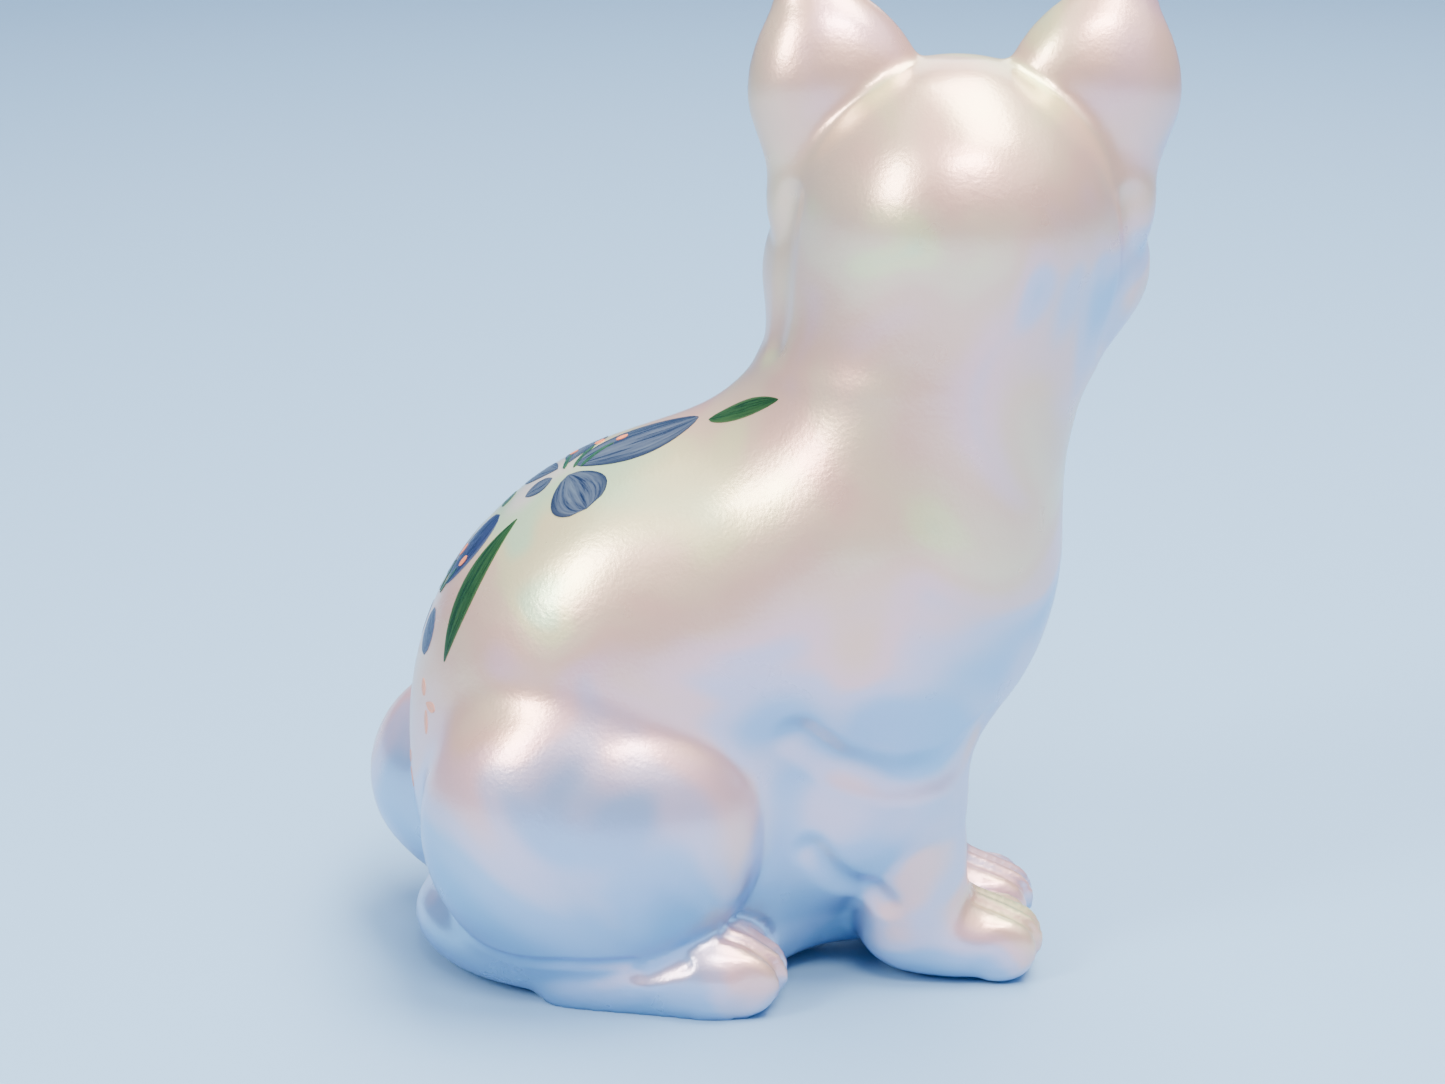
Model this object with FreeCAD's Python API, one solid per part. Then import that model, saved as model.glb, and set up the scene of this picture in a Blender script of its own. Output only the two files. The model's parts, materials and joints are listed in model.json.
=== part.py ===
import FreeCAD
import Part

import math
import os

from FreeCAD import Vector

# A seated cat figurine: thin-walled white ware, cast in separate moulds, stuck together with slip,
# glazed with a pearl lustre and painted with enamel flowers.
#
# Frame: millimetres, +Z up, origin on the table in the middle of the base. The body points along +X
# and the head is turned to the cat's left, so that the face looks along +Y.
#
# The castings are modelled as a potter builds up clay: a list of lumps that blend into each other.
# The surface of a casting is walked out from its axis to the outside of the lumps and held by one
# spline surface. The smaller castings are cut to sit on the bigger ones, as they are stuck on.

# ---------------------------------------------------------------- driving dimensions, millimetres
figure_height = 95.0          # table to ear tips
figure_length = 60.0          # rump to forepaws, without the tail
figure_width = 41.0           # across the haunches

wall = 3.4                    # thickness of the cast wall
floor_thickness = 4.0         # thickness of the base
pour_hole_diameter = 12.0     # slip runs in and out here
pour_hole_x = -8.0
base_edge = 1.5               # rounding where the sides meet the base

enamel_thickness = 0.2        # a brush stroke stands this far above the glaze
enamel_end = 0.15             # half width of a stroke at its two ends
enamel_bed = 0.04             # glaze between a stroke and the casting under it

# The lumps below are written for a figure of this size. The figure's own sizes stretch them.
modelled_height = 95.0
modelled_length = 60.0
modelled_width = 41.0
stretch_x = figure_length / modelled_length
stretch_y = figure_width / modelled_width
stretch_z = figure_height / modelled_height
stretch_mean = (stretch_x + stretch_y + stretch_z) / 3

RIGHT, LEFT = -1, 1

# Places on the modelled figure
neck_joint_z = 58.5           # the head casting sits on the torso here
head_x = 21.5
head_z = 72.5
ear_middle_x = 22.2           # the head is tipped a little towards its right ear
ear_spread = 11.9             # from there to the middle of an ear's widest place
ear_lean = 1.9                # the tip stands this much further out
ear_wide_z = 84.5
ear_wide_radius = 7.2
ear_foot_z = 79.0
ear_foot_radius = 6.3
ear_tip_radius = 3.2
ear_thickness = 8.0           # front to back, at the widest place
foreleg_top_z = 22.0          # the foreleg castings reach up into the chest this far

skin_columns = 84             # rings of the torso's skin have this many points


# ---------------------------------------------------------------- clay
def egg(at, radii, lean=0.0, blend=4.0):
    """An egg-shaped lump. lean turns its long side up at the front, in degrees."""
    angle = math.radians(lean)
    return ("egg", at, radii, math.cos(angle), math.sin(angle), blend)


def limb(start, end, start_radius, end_radius, blend=4.0, flat=1.0):
    """A tapered round limb from start to end. flat squeezes it across Y."""
    return ("limb", start, end, start_radius, end_radius, flat, blend)


def mirrored(lump, side):
    """The same lump on the right (side -1) or on the left (side 1)."""
    swap = [(v[0], side * v[1], v[2]) if n in (1, 2) and isinstance(v, tuple) else v for n, v in enumerate(lump)]
    if lump[0] == "egg":
        swap[2] = lump[2]
    return tuple(swap)


def lump_distance(x, y, z, lump):
    """Distance from a point to a lump's surface, negative inside."""
    if lump[0] == "egg":
        _, (cx, cy, cz), (rx, ry, rz), cos, sin, _ = lump
        x, y, z = x - cx, y - cy, z - cz
        x, z = cos * x + sin * z, cos * z - sin * x
        nx, ny, nz = x / rx, y / ry, z / rz
        share = math.sqrt(nx * nx + ny * ny + nz * nz)
        slope = math.sqrt((nx / rx) ** 2 + (ny / ry) ** 2 + (nz / rz) ** 2)
        return share * (share - 1) / max(slope, 1e-9)
    _, (ax, ay, az), (bx, by, bz), start_radius, end_radius, flat, _ = lump
    px, py, pz = x - ax, (y - ay) / flat, z - az
    qx, qy, qz = bx - ax, (by - ay) / flat, bz - az
    share = (px * qx + py * qy + pz * qz) / (qx * qx + qy * qy + qz * qz)
    share = min(1.0, max(0.0, share))
    gap = math.sqrt((px - share * qx) ** 2 + (py - share * qy) ** 2 + (pz - share * qz) ** 2)
    return (gap - start_radius - (end_radius - start_radius) * share) * min(1.0, flat)


def clay_distance(x, y, z, lumps):
    """Distance from a point to the blended lumps, negative inside."""
    total = None
    for lump in lumps:
        distance = lump_distance(x, y, z, lump)
        if total is None:
            total = distance
            continue
        blend = lump[-1]
        near = max(blend - abs(total - distance), 0.0) / blend
        total = min(total, distance) - near * near * blend / 4
    return total


def walk_out(centre, direction, lumps, level):
    """The point where a ray from inside the clay leaves it. level moves the skin out or in."""
    (cx, cy, cz), (dx, dy, dz) = centre, direction
    reach = 0.3
    for _ in range(60):
        distance = clay_distance(cx + reach * dx, cy + reach * dy, cz + reach * dz, lumps) - level
        reach = max(0.3, reach - 0.9 * distance)
        if abs(distance) < 0.002:
            break
    return Vector(
        (cx + reach * dx) * stretch_x,
        (cy + reach * dy) * stretch_y,
        (cz + reach * dz) * stretch_z,
    )


# ---------------------------------------------------------------- castings
def casting(lumps, rows, columns):
    """A closed solid whose skin is walked out from rows of rings, and its skin surface.

    A row is (centre, across, up, level): the ring lies in the plane of across and up."""
    rings = []
    for centre, across, up, level in rows:
        ring = []
        for n in range(columns):
            turn = 2 * math.pi * n / columns
            direction = [math.cos(turn) * a + math.sin(turn) * u for a, u in zip(across, up)]
            ring.append(walk_out(centre, direction, lumps, level))
        rings.append(ring)
    poles = [[ring[n] for ring in rings] for n in range(columns)]
    skin = Part.BSplineSurface()
    skin.buildFromPolesMultsKnots(
        poles,
        [1] * (columns + 1),
        [4] + [1] * (len(rows) - 4) + [4],
        list(range(columns + 1)),
        list(range(len(rows) - 2)),
        True, False, 3, 3,
    )
    side = skin.toShape()
    ends = [edge for edge in side.Edges if not edge.isSeam(side.Faces[0])]
    caps = [Part.Face(Part.Wire([edge])) for edge in ends]
    shell = Part.Shell([side.Faces[0]] + caps)
    solid = Part.Solid(shell)
    if not solid.isValid() or solid.Volume < 0:
        shell.sewShape()
        solid = Part.Solid(shell)
    if solid.Volume < 0:
        solid.reverse()
    return solid, skin


def upright_rows(heights, axis_x, axis_y=lambda z: 0.0, level=lambda z: 0.0):
    """Level rings around an upright axis that may wander in X and Y."""
    return [((axis_x(z), axis_y(z), z), (1, 0, 0), (0, 1, 0), level(z)) for z in heights]


def between(low, high, count):
    return [low + (high - low) * n / (count - 1) for n in range(count)]


def inside_wall(z):
    return -wall / stretch_mean


parts = {}

trunk_lumps = [
    egg((-10.0, 0, 20), (19.6, 15.0, 22.5), blend=6),                 # rump
    egg((-5.4, 0, 34.6), (21.4, 16.0, 17.2), lean=30, blend=8),       # back
    egg((13.0, 0, 38), (18.3, 15.5, 18.5), blend=8),                  # chest
    limb((15.5, 0, 46), (19.6, 0, 60), 15.4, 14.4, blend=6),          # neck
    egg((2.0, 0, 15.5), (17, 12.5, 14.5), blend=6),                   # belly
    egg((-10.0, 0, 4.4), (19.6, 15.4, 7.4), blend=2),                 # seat
    limb((0.0, 0, 7.0), (17, 0, 7.0), 5.5, 5.5, blend=3),             # web between the feet
]
haunch_lumps = [
    egg((-12.0, 10.6, 17.4), (16.0, 9.9, 15.6), lean=16, blend=1.2),
]
shoulder_lumps = [
    limb((14.0, 7.6, 32), (16.6, 6.4, 18.0), 7.8, 6.9, blend=5),      # upper arm
    egg((11.0, 8.0, 16.0), (6.0, 5.2, 6.4), blend=3),                 # elbow
]
head_lumps = [
    egg((head_x, 0, head_z), (15.0, 15.0, 14.6)),                     # skull
    egg((head_x + 0.7, 4, head_z - 5.5), (17.9, 10, 11.0), blend=5),  # cheeks
    egg((head_x, 12.0, head_z - 7.5), (7.6, 6.6, 6.0)),               # muzzle
]
hind_foot_lumps = [
    limb((-13.5, 10.6, 3.4), (-1.5, 13.0, 3.4), 4.7, 4.6, blend=2),
    egg((0.4, 13.0, 3.4), (5.2, 4.9, 4.4), blend=1.5),                # toes
]
foreleg_lumps = [
    limb((15.8, 6.7, 24), (18.2, 5.5, 6.2), 7.0, 5.3, blend=4),
    egg((23.0, 5.1, 3.7), (7.2, 4.9, 4.3), blend=1.6),                # paw
]
tail_lumps = [
    limb((-20, 6, 10), (-23.8, 11, 14.4), 8, 9.6, blend=4),
    limb((-23.8, 11, 14.4), (-13, 19, 8), 9.6, 6.5, blend=4),
    limb((-13, 19, 8), (2, 20, 4.6), 6.5, 4.2, blend=3),
    egg((-11, 12, 6), (13, 8, 9), blend=3),                           # fills in towards the haunch
]
torso_lumps = (
    trunk_lumps
    + [mirrored(lump, side) for lump in shoulder_lumps + haunch_lumps for side in (RIGHT, LEFT)]
    + head_lumps
)


def axis_x(z):
    """The middle of the torso leans forward on its way up to the neck."""
    share = min(1.0, max(0.0, z / neck_joint_z))
    return -4.0 + 22.5 * share * share * (3 - 2 * share)


def base_level(z):
    """Rounds the skin in towards the table."""
    drop = min(1.0, max(0.0, 1 - z * stretch_z / base_edge))
    return -base_edge * (1 - math.sqrt(1 - drop * drop))


def from_table(top, count):
    """Heights from the table to the top, closer together in the rounded edge."""
    edge = base_edge / stretch_z
    return [0.0, 0.12 * edge, 0.35 * edge, 0.7 * edge] + between(1.2 * edge, top, count)


def up_to_tip(low, tip, count):
    """Heights that close in on a rounded tip."""
    return [low + (tip - 0.02 - low) * math.sin(math.pi / 2 * n / (count - 1)) for n in range(count)]


# ---------------------------------------------------------------- torso
torso_body, torso_skin = casting(
    torso_lumps, upright_rows(from_table(neck_joint_z, 50), axis_x, level=base_level), skin_columns)
torso_cavity, _ = casting(
    torso_lumps,
    upright_rows(between(floor_thickness / stretch_z, neck_joint_z + 1, 32), axis_x, level=inside_wall),
    skin_columns // 2)
pour_hole = Part.makeCylinder(
    pour_hole_diameter / 2, floor_thickness + 2, Vector(pour_hole_x * stretch_x, 0, -1))
parts["torso"] = torso_body.cut([torso_cavity, pour_hole])

# ---------------------------------------------------------------- head and ears
neck_and_head = trunk_lumps[2:4] + head_lumps


def head_axis_x(z):
    return head_x - 2.5 * max(0.0, 1 - (z - neck_joint_z) / 12)


crown_z = walk_out((head_x, 2, head_z), (0, 0, 1), neck_and_head, 0).z / stretch_z
ceiling_z = walk_out((head_x, 2, head_z), (0, 0, 1), neck_and_head, inside_wall(0)).z / stretch_z
head_body, head_skin = casting(
    neck_and_head,
    upright_rows(up_to_tip(neck_joint_z, crown_z, 34), head_axis_x, lambda z: 2.0),
    skin_columns * 3 // 4)
head_cavity, _ = casting(
    neck_and_head,
    upright_rows(up_to_tip(neck_joint_z - 1, ceiling_z, 22), head_axis_x, lambda z: 2.0, inside_wall),
    skin_columns // 2)
parts["head"] = head_body.cut(head_cavity)

for name, side in (("right_ear", 1), ("left_ear", -1)):
    ear_x = ear_middle_x + side * ear_spread
    tip_z = modelled_height - ear_tip_radius
    flat = ear_thickness / (2 * ear_wide_radius)
    ear_lumps = [
        limb((ear_x, 1.2, ear_wide_z), (ear_x + side * ear_lean, 2.0, tip_z),
             ear_wide_radius, ear_tip_radius, flat=flat),
        limb((ear_x, 1.0, ear_foot_z), (ear_x, 1.2, ear_wide_z),
             ear_foot_radius, ear_wide_radius, blend=2, flat=flat),
    ]

    def ear_axis_x(z):
        return ear_x + side * ear_lean * min(1.0, max(0.0, (z - ear_wide_z) / (tip_z - ear_wide_z)))

    ear, _ = casting(
        ear_lumps,
        upright_rows(up_to_tip(ear_foot_z - 0.8 * ear_foot_radius, modelled_height, 24), ear_axis_x, lambda z: 1.4),
        skin_columns // 3)
    parts[name] = ear.cut(head_body)

# ---------------------------------------------------------------- legs, feet and tail
below_table = Part.makeBox(200, 200, 20, Vector(-100, -100, -20))
for name, side in (("right_hind_foot", RIGHT), ("left_hind_foot", LEFT)):
    rows = [
        ((x, side * (13.3 + 0.2 * x), 3.4), (0, 1, 0), (0, 0, 1), 0.0)
        for x in (-18.15, -17.7, -16.8, -15.3, -13, -10, -7, -4, -1.5, 0.5, 2.2, 3.7, 4.8, 5.4, 5.58)
    ]
    foot, _ = casting([mirrored(lump, side) for lump in hind_foot_lumps], rows, 30)
    parts[name] = foot.cut([torso_body, below_table])

for name, side in (("right_foreleg", RIGHT), ("left_foreleg", LEFT)):
    other_side = Part.makeBox(200, 100, 200, Vector(-100, 0 if side == RIGHT else -100, -50))
    leg, _ = casting(
        [mirrored(lump, side) for lump in foreleg_lumps],
        upright_rows(
            from_table(foreleg_top_z, 22),
            lambda z: 19.0 - 3.0 * z / foreleg_top_z,
            lambda z: side * (5.3 + 1.2 * z / foreleg_top_z),
            base_level),
        skin_columns // 2)
    parts[name] = leg.cut([torso_body, other_side])

tail_top_z = walk_out((-23.8, 11, 14.4), (0, 0, 1), tail_lumps, 0).z / stretch_z
tail, _ = casting(
    tail_lumps,
    upright_rows(
        [0.0, 0.2, 0.5, 1.1] + up_to_tip(1.8, tail_top_z, 26),
        lambda z: -13.0 - 10.8 * min(1.0, z / 15),
        lambda z: 14.0 - 3.0 * min(1.0, z / 15),
        base_level),
    skin_columns * 3 // 4)
parts["tail"] = tail.cut([torso_body, parts["left_hind_foot"]])


# ---------------------------------------------------------------- enamel
def stroke(skin, root, tip, width, widest=0.5, fullness=0.8, bow=0.0, layer=0):
    """One brush stroke lying on a skin, from its root to its tip.

    widest is the share of the length where it is widest, fullness makes the ends blunter when it
    is small, bow bends the middle sideways, and layer 1 lies on top of the strokes of layer 0."""
    root, tip = [Vector(p[0] * stretch_x, p[1] * stretch_y, p[2] * stretch_z) for p in (root, tip)]
    fine = width < 1.2
    lower, upper = [], []
    for share in between(0.0, 1.0, 5 if fine else 9):
        swell = math.sin(math.pi * share ** (math.log(0.5) / math.log(widest))) if 0 < share < 1 else 0.0
        half = enamel_end + max(0.0, width / 2 - enamel_end) * swell ** fullness
        middle = root + (tip - root) * share
        outward = skin.normal(*skin.parameter(middle))
        across = outward.cross(tip - root).normalize()
        middle = middle + across * (bow * math.sin(math.pi * share))
        lower_row, upper_row = [], []
        for n in between(-1.0, 1.0, 3 if fine else 5):
            at = skin.parameter(middle + across * (half * n))
            spot, outward = skin.value(*at), skin.normal(*at)
            if outward.dot(spot - heart(spot)) < 0:
                outward = outward * -1
            under = enamel_bed + layer * (enamel_thickness + enamel_bed)
            lower_row.append(spot + outward * under)
            upper_row.append(spot + outward * (under + enamel_thickness))
        lower.append(lower_row)
        upper.append(upper_row)
    below, above = Part.BSplineSurface(), Part.BSplineSurface()
    below.interpolate(lower)
    above.interpolate(upper)
    faces = [below.toShape(), above.toShape()]
    u0, u1, v0, v1 = below.bounds()
    a0, a1, b0, b1 = above.bounds()
    for under, over in (
        (below.uIso(u0), above.uIso(a0)), (below.uIso(u1), above.uIso(a1)),
        (below.vIso(v0), above.vIso(b0)), (below.vIso(v1), above.vIso(b1)),
    ):
        faces.append(Part.makeRuledSurface(under.toShape(), over.toShape()))
    shell = Part.makeShell(faces)
    shell.sewShape()
    solid = Part.Solid(shell)
    if solid.Volume < 0:
        solid.reverse()
    return solid


def heart(spot):
    """A place inside the clay level with the spot, to tell outward from inward."""
    z = spot.z / stretch_z
    return Vector((axis_x(z) if z < neck_joint_z else head_x) * stretch_x, 0, spot.z)


# name: (root, tip, width, widest, fullness, bow, layer)
torso_strokes = {
    # blossom on the back
    "back_petal_front": ((-13.4, -2.5, 49.5), (-1.9, -2.3, 54.0), 6.6, 0.50, 0.70, 0.0, 0),
    "back_petal_right": ((-14.0, -3.7, 49.0), (-12.0, -9.0, 47.2), 6.0, 0.62, 0.45, 0.0, 0),
    "back_petal_rear": ((-15.5, -2.6, 48.4), (-18.1, -2.7, 46.6), 2.4, 0.50, 0.70, 0.0, 0),
    "back_petal_far": ((-15.1, -1.3, 48.9), (-18.1, 3.4, 46.9), 3.4, 0.60, 0.60, 0.0, 0),
    "back_petal_left": ((-14.0, -1.3, 49.3), (-11.2, 4.8, 50.2), 4.2, 0.62, 0.60, 0.0, 0),
    "back_stamen_1": ((-14.4, -2.2, 49.1), (-13.8, 1.0, 49.4), 0.5, 0.50, 0.30, 0.0, 1),
    "back_stamen_2": ((-13.5, -3.0, 49.5), (-11.7, 0.2, 50.7), 0.5, 0.50, 0.30, 0.1, 1),
    "back_stamen_3": ((-12.8, -3.5, 49.7), (-9.8, -1.2, 51.4), 0.5, 0.50, 0.30, 0.2, 1),
    "back_anther_1": ((-13.7, 1.4, 49.5), (-13.5, 2.5, 49.6), 0.9, 0.50, 0.50, 0.0, 1),
    "back_anther_2": ((-11.5, 0.6, 50.8), (-10.9, 1.6, 51.1), 0.9, 0.50, 0.50, 0.0, 1),
    "back_anther_3": ((-9.5, -0.9, 51.5), (-8.5, -0.3, 52.0), 0.9, 0.50, 0.50, 0.0, 1),
    # blossom on the rump
    "rump_petal_upper_right": ((-25.7, -2.3, 37.9), (-20.4, -2.0, 44.7), 4.6, 0.58, 0.50, 0.0, 0),
    "rump_petal_upper_left": ((-25.8, 0.1, 38.2), (-22.0, 5.6, 42.6), 4.2, 0.58, 0.50, 0.0, 0),
    "rump_petal_left": ((-26.5, 1.4, 36.6), (-25.0, 7.6, 36.0), 3.6, 0.60, 0.50, 0.0, 0),
    "rump_petal_lower_left": ((-27.2, 0.3, 35.4), (-27.5, 3.4, 31.0), 3.4, 0.58, 0.50, 0.0, 0),
    "rump_petal_lower_right": ((-27.0, -2.4, 35.9), (-27.5, -4.3, 31.6), 3.2, 0.50, 0.50, 0.0, 0),
    "rump_stamen_1": ((-26.5, -1.7, 37.0), (-24.6, -2.6, 39.6), 0.5, 0.50, 0.30, 0.0, 1),
    "rump_stamen_2": ((-26.5, -1.1, 37.0), (-24.7, -0.6, 39.8), 0.5, 0.50, 0.30, 0.0, 1),
    "rump_anther_1": ((-24.3, -2.8, 39.9), (-23.5, -3.1, 40.9), 0.9, 0.50, 0.50, 0.0, 1),
    "rump_anther_2": ((-24.4, -0.5, 40.2), (-23.6, -0.4, 41.3), 0.9, 0.50, 0.50, 0.0, 1),
    # leaves
    "nape_leaf": ((-0.8, -3.6, 54.2), (5.3, -8.2, 57.1), 2.2, 0.40, 0.80, 0.2, 0),
    "bud_leaf": ((-20.3, -0.5, 45.0), (-19.1, 1.7, 45.8), 1.6, 0.45, 0.80, 0.0, 0),
    "long_leaf": ((-18.6, -5.1, 45.3), (-25.5, -8.2, 32.1), 2.7, 0.50, 0.90, -0.4, 0),
    # sprigs under the blossom on the rump
    "upper_sprig_bud": ((-27.7, -5.4, 29.7), (-27.6, -6.2, 28.2), 0.8, 0.50, 0.60, 0.0, 0),
    "upper_sprig_side": ((-27.4, -6.9, 27.7), (-26.8, -8.6, 27.5), 1.0, 0.60, 0.60, 0.0, 0),
    "upper_sprig_stem": ((-27.5, -6.9, 27.0), (-27.6, -7.4, 24.8), 0.6, 0.50, 0.60, 0.0, 0),
    "lower_sprig_bud": ((-29.4, -2.9, 21.6), (-29.5, -2.2, 20.2), 0.8, 0.50, 0.60, 0.0, 0),
    "lower_sprig_stem": ((-29.5, -2.3, 19.6), (-29.5, -3.2, 17.8), 0.6, 0.50, 0.60, 0.0, 0),
}
head_strokes = {
    "right_iris": ((head_x + 3.4, 14.2, 74.2), (head_x + 8.2, 12.6, 75.6), 3.4, 0.50, 0.60, 0.0, 0),
    "left_iris": ((head_x - 3.4, 14.2, 74.2), (head_x - 8.2, 12.6, 75.6), 3.4, 0.50, 0.60, 0.0, 0),
    "right_pupil": ((head_x + 5.8, 13.6, 73.5), (head_x + 5.8, 13.4, 76.2), 1.3, 0.50, 0.80, 0.0, 1),
    "left_pupil": ((head_x - 5.8, 13.6, 73.5), (head_x - 5.8, 13.4, 76.2), 1.3, 0.50, 0.80, 0.0, 1),
    "nose": ((head_x, 19.0, 69.4), (head_x, 19.6, 67.6), 2.4, 0.35, 0.50, 0.0, 0),
}
for strokes, skin in ((torso_strokes, torso_skin), (head_strokes, head_skin)):
    for name, values in strokes.items():
        parts[name] = stroke(skin, *values)

os.makedirs("parts", exist_ok=True)
for name, shape in parts.items():
    shape.exportStep("parts/" + name + ".step")
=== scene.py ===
import bpy
import json
import math
from mathutils import Matrix, Vector
from mathutils.kdtree import KDTree

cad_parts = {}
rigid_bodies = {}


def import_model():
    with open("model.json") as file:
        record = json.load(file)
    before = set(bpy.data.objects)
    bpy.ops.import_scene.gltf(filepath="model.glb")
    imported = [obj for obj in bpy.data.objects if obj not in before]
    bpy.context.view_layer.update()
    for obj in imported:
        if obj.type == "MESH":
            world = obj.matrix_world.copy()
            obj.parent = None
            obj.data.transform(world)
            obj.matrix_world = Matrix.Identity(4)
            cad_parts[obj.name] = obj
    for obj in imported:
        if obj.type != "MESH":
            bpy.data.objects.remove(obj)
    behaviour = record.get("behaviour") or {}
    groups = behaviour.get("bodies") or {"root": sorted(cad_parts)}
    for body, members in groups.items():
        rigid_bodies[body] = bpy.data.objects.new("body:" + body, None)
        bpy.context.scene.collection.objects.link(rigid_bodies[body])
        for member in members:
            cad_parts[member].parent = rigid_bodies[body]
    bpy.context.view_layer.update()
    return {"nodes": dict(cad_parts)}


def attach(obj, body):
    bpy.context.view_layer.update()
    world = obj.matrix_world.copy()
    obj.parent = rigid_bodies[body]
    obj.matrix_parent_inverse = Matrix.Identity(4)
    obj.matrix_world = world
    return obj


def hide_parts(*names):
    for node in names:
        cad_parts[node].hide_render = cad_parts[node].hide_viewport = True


bpy.ops.object.select_all(action="SELECT")
bpy.ops.object.delete()

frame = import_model()
nodes = frame["nodes"]
mm = 0.001
print("frame loaded:", len(nodes), "nodes")

castings = ["torso", "head", "right_ear", "left_ear", "right_foreleg", "left_foreleg",
            "right_hind_foot", "left_hind_foot", "tail"]

clay = {
    "voxel": 0.40 * mm,          # grain of the joined figure before it is smoothed
    "swell": 0.25 * mm,          # the small castings grow by this to bite into the big ones
    "smoothTurns": 14,
    "neckJoint": 58.5 * mm,
    "torsoMiddle": (-4, 22.5),   # mm; x of the torso's middle at the table, and its gain up to the neck
    "headMiddle": (21.3, 2, 70),
    "floorBelow": 6 * mm,        # the torso's inner floor lies under this height
    "torsoHeart": (2, 0, 25),    # mm; joint walls run inward to these places
    "headHeart": (21.5, 2, 68),
    "wallReach": 0.88,           # a joint wall ends at this share of the way out from the heart
    "cutRoom": 0.9 * mm,         # a face this far outside a small casting still belongs to it
    "borderTurns": 3,            # how often a casting's border is grown and shrunk to clean it
    "footLevel": 0.22 * mm,      # what lies under this height is pressed flat on the table
}

softSpots = {                    # where the joined clay is rubbed smoother: middle height, reach (mm), turns
    "ear_root": (78.5, 5.5, 70),
    "flanks": (28, 24, 10),
    "nape": (58.5, 7, 30),
}

face = {
    "middle": 21.5,              # mm, as are all the places below
    "earRootMiddle": 22.1,
    "earHollowMiddle": 22.2,
    "earHollowTurn": 0.16,       # radians
    "muzzlePads": [(2.5, 16.4, 66.3), (3.1, 2.9, 2.6)],
    "chin": [(0, 15.2, 63.2), (2.8, 2.6, 2.0)],
    "bridge": [(0, 13.6, 70.6), (2.4, 3.2, 4.6)],
    "eyeballs": [(5.8, 11.9, 74.8), (3.0, 2.0, 2.3)],
    "earHollow": [(12.4, 6.6, 85.6), (4.6, 3.6, 7.0)],
    "earRoot": [(13.0, 1.0, 74.5), (4.9, 4.3, 8.5)],
}

muscles = {                      # soft masses laid over both flanks before the clay is joined
    "upperArm": [(14.8, 7.0, 33.4), (10.2, 9.0, 9.4), (0, 0, 0)],
    "elbow": [(9.6, 8.6, 19.4), (3.4, 4.2, 6.4), (0, 0.35, 0)],
    "thigh": [(-9.4, 11.3, 17.6), (14.0, 9.8, 13.6), (0, 0.30, 0)],
    "hip": [(-17.0, 11.8, 23.6), (8.0, 5.4, 5.8), (0, 0.75, 0.25)],
    "bladeFront": [(8.6, 11.6, 42.0), (2.6, 3.4, 8.5), (0, -0.10, 0)],
    "bladeRear": [(1.6, 12.0, 38.6), (2.8, 3.8, 8.0), (0, 0.22, 0)],
}

toes = {
    "room": 0.8,                 # mm; the skin this far outside the toes still belongs to the paw
    "spread": (-3.3, -1.15, 1.15, 3.3),
    "forepaw": [(27.4, 5.1, 3.4), (3.7, 1.35, 3.4)],
    "hindFoot": [(3.0, 13.0, 3.4), (3.6, 1.3, 3.3)],
}

# folds pressed into the clay: places, reach to each side and depth, in mm
folds = {
    "chest": ([(7.5, 13.5, 27.4), (10.6, 14.0, 24.6), (15.5, 13.5, 23.0), (20.5, 12, 23.2), (25.0, 8, 25.6)],
              3.0, 0.60),
    "elbow": ([(8.6, 12.5, 15.6), (11.6, 12.5, 12.0), (15.2, 11.8, 9.4)], 2.2, 0.60),
    "footBand": ([(-24.0, 11, 6.9), (-14.5, 17.5, 5.6), (-7.0, 18.5, 4.9), (-3.6, 18.0, 6.4)], 1.3, 0.35),
    "cheek": ([(7.4, -2.5, 74.0), (6.8, -2.5, 67), (7.8, -2.5, 61.0)], 2.6, 0.40),
    "cheekOther": ([(36.9, -2.5, 74.0), (37.5, -2.5, 67), (36.5, -2.5, 61.0)], 2.6, 0.40),
    "mouth": ([(17.4, 17.5, 65.9), (19.4, 19.0, 64.8), (21.5, 19.5, 66.1), (23.6, 19.0, 64.8),
               (25.6, 17.5, 65.9)], 0.9, 0.50),
    "lip": ([(21.5, 19.5, 66.1), (21.5, 19.6, 67.6)], 0.8, 0.45),
}
oneSided = ("cheek", "cheekOther", "mouth", "lip")    # the other folds are pressed into both flanks

toeCreases = {
    "forepaw": [(24.6, 8.6), (27.6, 7.6), (30.4, 5.0), (31.3, 1.2)],
    "hindFoot": [(0.8, 8.4), (3.2, 7.4), (5.6, 4.8), (6.4, 1.2)],
    "across": {"forepaw": 5.1, "hindFoot": 13.0},
    "spread": (-2.25, 0, 2.25),
    "reach": 0.95,
    "depth": 0.55,
}

pourHole = {
    "x": -8,
    "radius": 6,
    "drill": 12,
    "inside": [(-6, 0, 19), (15.5, 11.5, 15)],
}


def deselectAll():
    if bpy.context.object and bpy.context.object.mode != "OBJECT":
        bpy.ops.object.mode_set(mode="OBJECT")
    bpy.ops.object.select_all(action="DESELECT")


def pick(obj):
    deselectAll()
    obj.select_set(True)
    bpy.context.view_layer.objects.active = obj


def useModifier(obj, kind, **settings):
    pick(obj)
    mod = obj.modifiers.new(kind.lower(), kind)
    for key, value in settings.items():
        setattr(mod, key, value)
    bpy.ops.object.modifier_apply(modifier=mod.name)


def joinUp(objs):
    deselectAll()
    for o in objs:
        o.select_set(True)
    bpy.context.view_layer.objects.active = objs[0]
    bpy.ops.object.join()
    return objs[0]


def throwAway(obj):
    bpy.data.objects.remove(obj, do_unlink=True)


def cut(obj, tool):
    useModifier(obj, "BOOLEAN", operation="DIFFERENCE", object=tool, solver="MANIFOLD")


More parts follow.
